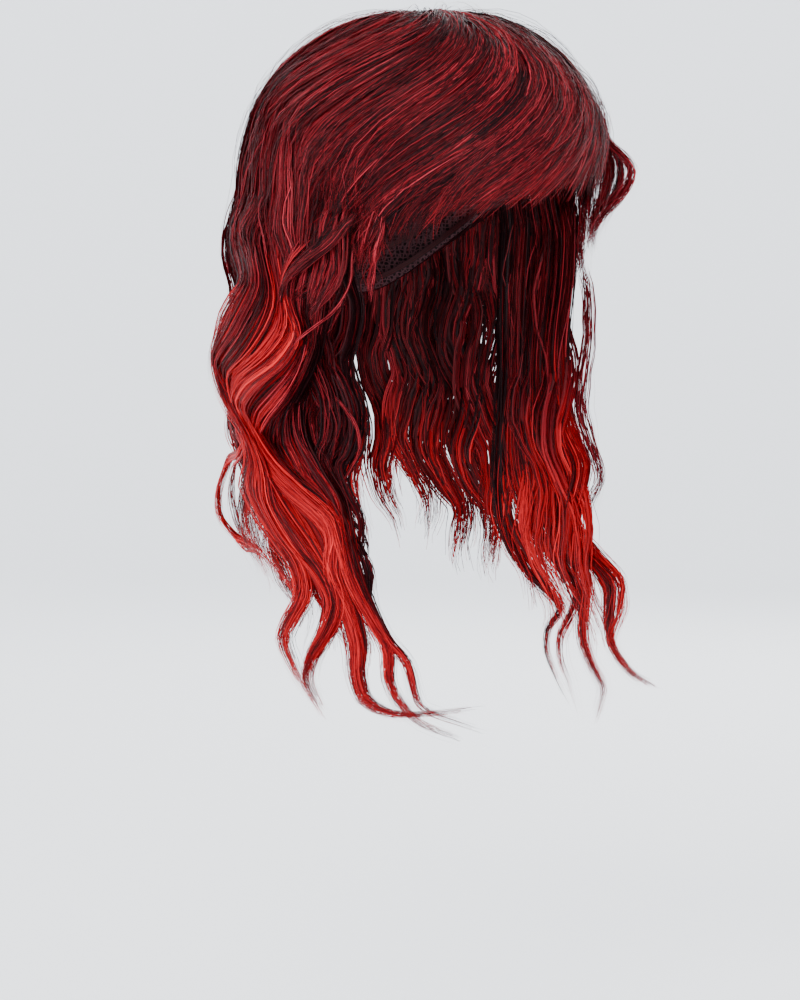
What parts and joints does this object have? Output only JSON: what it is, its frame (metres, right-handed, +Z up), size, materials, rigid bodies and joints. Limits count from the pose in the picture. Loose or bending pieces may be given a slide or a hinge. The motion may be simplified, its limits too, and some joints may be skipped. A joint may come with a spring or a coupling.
{
  "type": "layered wavy synthetic wig",
  "caption": "Shoulder-length layered wig on an open cap, with a fringe combed to one side, temple locks and waved tresses that fade from burgundy to bright red.",
  "frame": {"origin": "inside of the cap at its top, where the crown of the wearer's head touches it", "axes": "+Z up, the wearer's face looks along -Y, +X is the wearer's left"},
  "size_m": [0.2387, 0.2408, 0.3963],
  "materials": {
    "cap_net": "dark stretch net with hair wefts sewn across it",
    "burgundy_fibre": "burgundy synthetic fibre with dark and red strands, satin sheen",
    "faded_fibre": "waved synthetic fibre that fades from burgundy to bright red, satin sheen"
  },
  "bodies": {
    "root": {"cap": "cap_net", "crown_hair": "burgundy_fibre", "fringe": "burgundy_fibre", "temple_lock_right": "burgundy_fibre", "temple_lock_left": "burgundy_fibre", "side_layer_right": "burgundy_fibre", "side_layer_left": "burgundy_fibre", "tresses_front_right": "faded_fibre", "tresses_front_left": "faded_fibre", "tresses_side_right": "faded_fibre", "tresses_side_left": "faded_fibre", "tresses_rear_right": "faded_fibre", "tresses_rear_left": "faded_fibre", "tresses_nape": "faded_fibre"}
  },
  "joints": []
}
